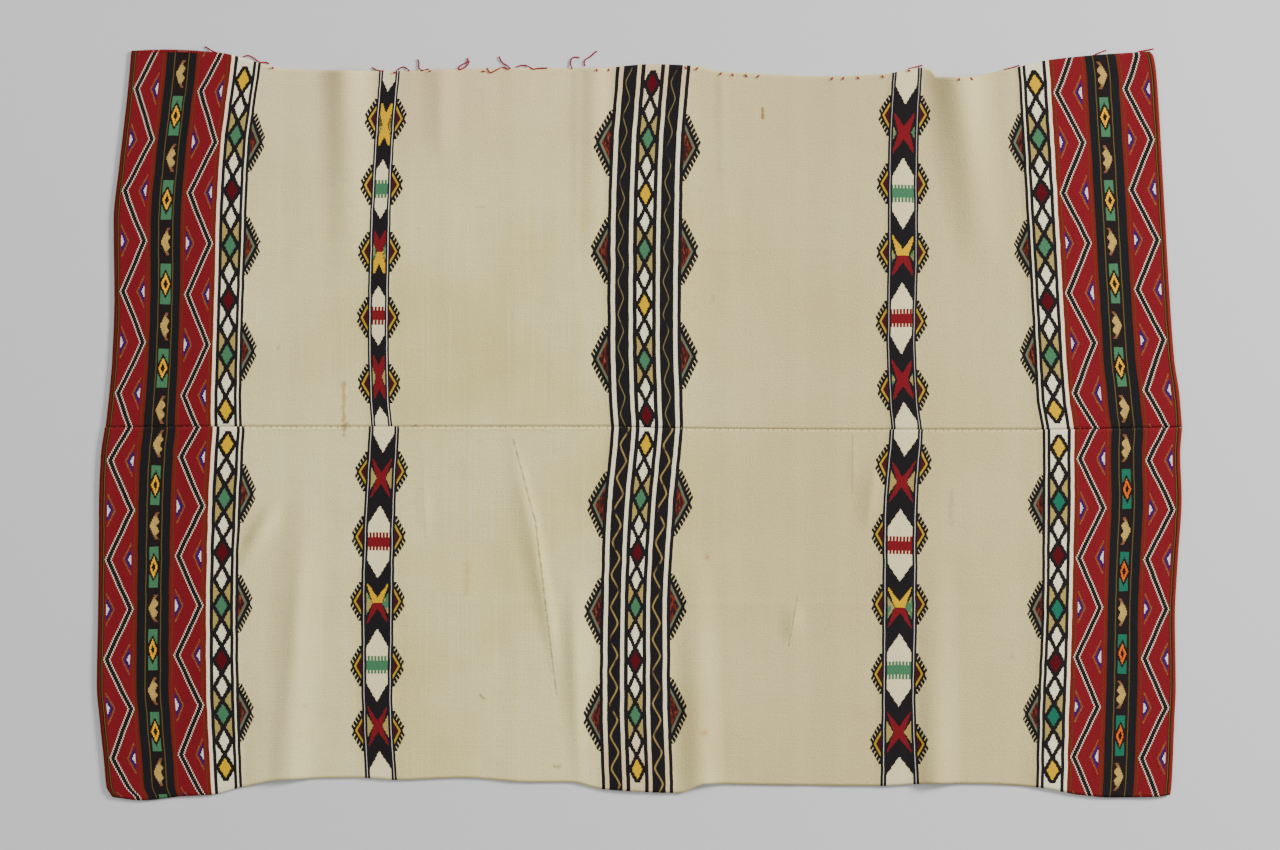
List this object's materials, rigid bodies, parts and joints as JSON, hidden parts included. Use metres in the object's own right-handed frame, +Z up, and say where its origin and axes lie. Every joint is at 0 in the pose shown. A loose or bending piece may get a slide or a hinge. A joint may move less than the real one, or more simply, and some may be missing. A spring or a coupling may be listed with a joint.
{
  "type": "cradle blanket",
  "caption": "Flat handwoven wool cradle blanket: loom-width panels sewn edge to edge, with woven geometric bands and soft storage folds.",
  "frame": {"origin": "on the surface that the blanket lies on, under the middle of its bounding box", "axes": "+X along the long side, +Y across both panels from the lower to the upper edge, +Z up off the surface"},
  "size_m": [1.453, 1.005, 0.0136],
  "materials": {
    "woven_wool": "matt handwoven wool with weft-faced bands",
    "sewing_thread": "matt twisted wool sewing thread"
  },
  "bodies": {
    "root": {"panel_upper": "woven_wool", "panel_lower": "woven_wool"}
  },
  "joints": []
}
